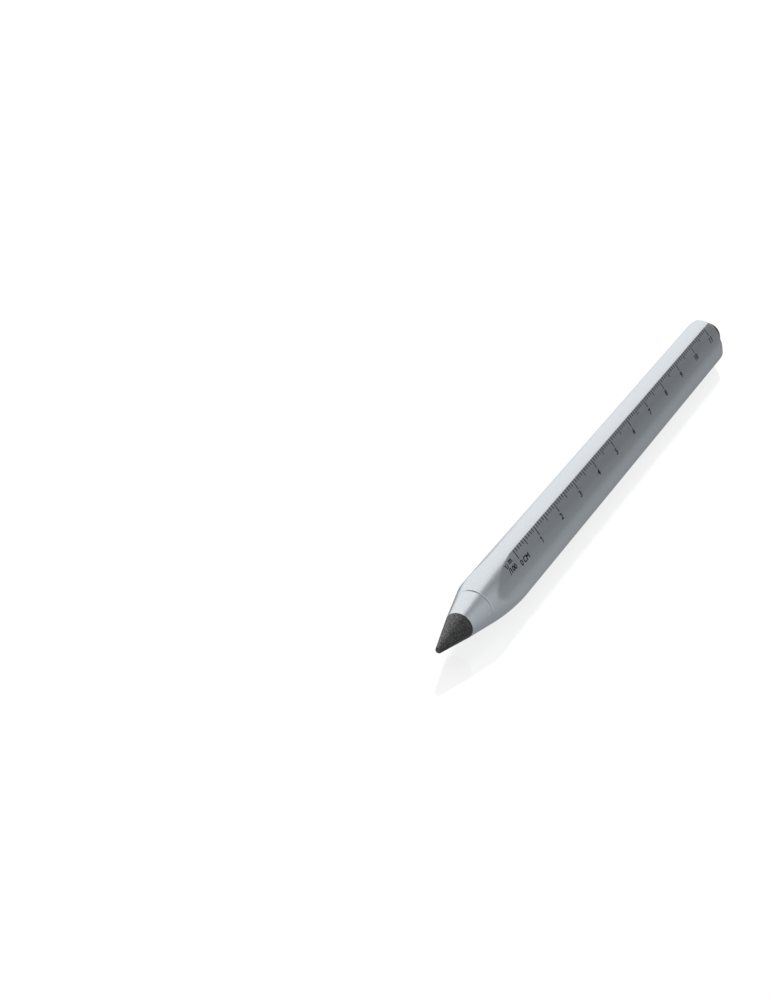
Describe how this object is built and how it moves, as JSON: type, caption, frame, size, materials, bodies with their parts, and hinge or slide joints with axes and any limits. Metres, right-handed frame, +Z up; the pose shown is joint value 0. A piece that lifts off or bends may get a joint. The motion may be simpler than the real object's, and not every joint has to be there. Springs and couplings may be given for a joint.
{
  "type": "inkless metal pencil",
  "caption": "Soft-triangle aluminium barrel with a printed rule, a screw-in nose with a blunt graphite-alloy writing tip, and a screw-in rubber touch stylus at the rear.",
  "frame": {"origin": "under the middle of the pencil's length, on the surface that it lies on", "axes": "+X along the barrel from the writing tip to the stylus, +Z up through the top ridge, the centimetre rule's face looks to -Y and up"},
  "size_m": [0.1502, 0.0116, 0.0109],
  "materials": {
    "anodised": "satin natural anodised",
    "bush_brass": "machined",
    "graphite": "granular graphite alloy",
    "ring_rubber": "moulded",
    "dome_rubber": "smooth conductive silicone",
    "post_plastic": "moulded"
  },
  "bodies": {
    "barrel": {"barrel": "anodised", "front_bush": "bush_brass", "rear_bush": "bush_brass"},
    "nose_ring": {"nose_ring": "ring_rubber"},
    "nose": {"nose_cone": "anodised", "writing_tip": "graphite"},
    "stylus_ring": {"stylus_ring": "ring_rubber"},
    "stylus": {"stylus_collar": "anodised", "stylus_dome": "dome_rubber", "dome_post": "post_plastic"}
  },
  "joints": [
    {"name": "nose_travel", "type": "slide", "parent": "barrel", "child": "nose_ring", "axis": [-1, 0, 0], "range_m": [0, 0.006]},
    {"name": "nose_turn", "type": "hinge", "parent": "nose_ring", "child": "nose", "pos_m": [-0.05983, 0, 0.00485], "axis": [-1, 0, 0], "range_deg": [0, 2900]},
    {"name": "stylus_travel", "type": "slide", "parent": "barrel", "child": "stylus_ring", "axis": [1, 0, 0], "range_m": [0, 0.006]},
    {"name": "stylus_turn", "type": "hinge", "parent": "stylus_ring", "child": "stylus", "pos_m": [0.0691, 0, 0.00485], "axis": [1, 0, 0], "range_deg": [0, 2900]}
  ],
  "couplings": [
    {"joint": "nose_turn", "follows": "nose_travel", "rad_per_m": 8377.6},
    {"joint": "stylus_turn", "follows": "stylus_travel", "rad_per_m": 8377.6}
  ]
}
